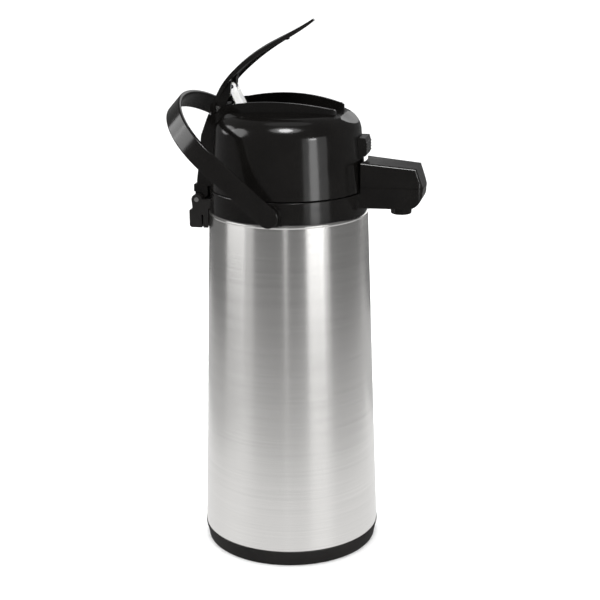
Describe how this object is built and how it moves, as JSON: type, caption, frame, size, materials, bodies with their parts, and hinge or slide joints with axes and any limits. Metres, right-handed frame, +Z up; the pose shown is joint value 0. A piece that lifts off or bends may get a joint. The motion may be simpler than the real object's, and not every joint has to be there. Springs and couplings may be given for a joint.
{
  "type": "thermal coffee airpot",
  "caption": "Insulated steel airpot with a raised pump lever in its domed lid, a boxed pouring spout, a push latch and an arched carrying handle",
  "frame": {"origin": "centre of the flat underside of the base, on the table", "axes": "+X towards the spout, +Y to the left of the spout, +Z up along the flask's axis"},
  "size_m": [0.2134, 0.152, 0.4509],
  "materials": {
    "gloss_black": "moulded gloss black ABS",
    "satin_black": "satin moulded black plastic",
    "shell_steel": "brushed round the shell",
    "plain_steel": "plain stainless steel",
    "white_nylon": "natural nylon",
    "grey_plastic": "moulded grey polypropylene",
    "tube_plastic": "translucent white tube",
    "silicone": "milky silicone",
    "rubber_grey": "dark grey rubber",
    "bellows_rubber": "grey moulded rubber"
  },
  "bodies": {
    "vessel": {"base_ring": "satin_black", "base_plate": "satin_black", "base_screws": "plain_steel", "foot_pads": "rubber_grey", "outer_shell": "shell_steel", "flask_outer_wall": "plain_steel", "flask_inner_wall": "plain_steel", "flask_cushion": "rubber_grey", "neck_gasket": "silicone", "collar": "gloss_black", "handle_pins": "plain_steel", "hinge_bracket": "satin_black", "hinge_screws": "plain_steel", "hinge_pin": "plain_steel", "spout_housing": "gloss_black", "spout_cover": "gloss_black", "spout_screws": "plain_steel", "spout_tube": "silicone", "nozzle": "gloss_black", "stem_elbow": "grey_plastic", "stem_seal": "silicone", "dip_tube": "tube_plastic", "latch_catch": "grey_plastic"},
    "lid": {"lid_dome": "gloss_black", "lid_hinge_arm": "gloss_black", "lid_base": "grey_plastic", "lid_screws": "plain_steel", "lid_gasket": "silicone", "valve_flap": "silicone", "bellows": "bellows_rubber", "return_spring": "plain_steel", "lever_pin": "plain_steel", "latch_spring": "plain_steel"},
    "lever": {"lever_shell": "gloss_black", "lever_catch": "gloss_black", "lever_lug": "gloss_black", "link_upper_pin": "plain_steel"},
    "link": {"pump_link": "white_nylon", "link_strut": "gloss_black", "link_lower_pin": "plain_steel"},
    "plunger": {"push_plate": "grey_plastic", "plunger_yoke": "grey_plastic"},
    "latch": {"latch_button": "gloss_black", "latch_hook": "grey_plastic"},
    "handle": {"bail_handle": "gloss_black"}
  },
  "joints": [
    {"name": "lid_hinge", "type": "hinge", "parent": "vessel", "child": "lid", "pos_m": [-0.0753, 0, 0.3019], "axis": [0, -1, 0], "range_deg": [0, 95]},
    {"name": "lever_pivot", "type": "hinge", "parent": "lid", "child": "lever", "pos_m": [-0.056, 0, 0.378], "axis": [0, 1, 0], "range_deg": [0, 43], "stiffness_Nm_per_rad": 0.6, "springref_deg": -17.19},
    {"name": "link_pivot", "type": "hinge", "parent": "lever", "child": "link", "pos_m": [-0.046, 0, 0.3955], "axis": [0, 1, 0], "range_deg": [-24, 0]},
    {"name": "plunger_slide", "type": "slide", "parent": "lid", "child": "plunger", "axis": [0, 0, -1], "range_m": [0, 0.0145], "deforming": ["bellows", "return_spring"]},
    {"name": "latch_press", "type": "slide", "parent": "lid", "child": "latch", "axis": [-1, 0, 0], "range_m": [0, 0.003], "stiffness_N_per_m": 800, "springref_m": -0.001, "deforming": ["latch_spring"]},
    {"name": "handle_swing", "type": "hinge", "parent": "vessel", "child": "handle", "pos_m": [0, 0, 0.3025], "axis": [0, -1, 0], "range_deg": [0, 89]}
  ],
  "couplings": [
    {"joint": "link_pivot", "follows": "lever_pivot", "ratio": -0.555},
    {"joint": "plunger_slide", "follows": "lever_pivot", "m_per_rad": 0.018788},
    {"joint": "handle_swing", "follows": "lid_hinge", "ratio": 0.93}
  ]
}
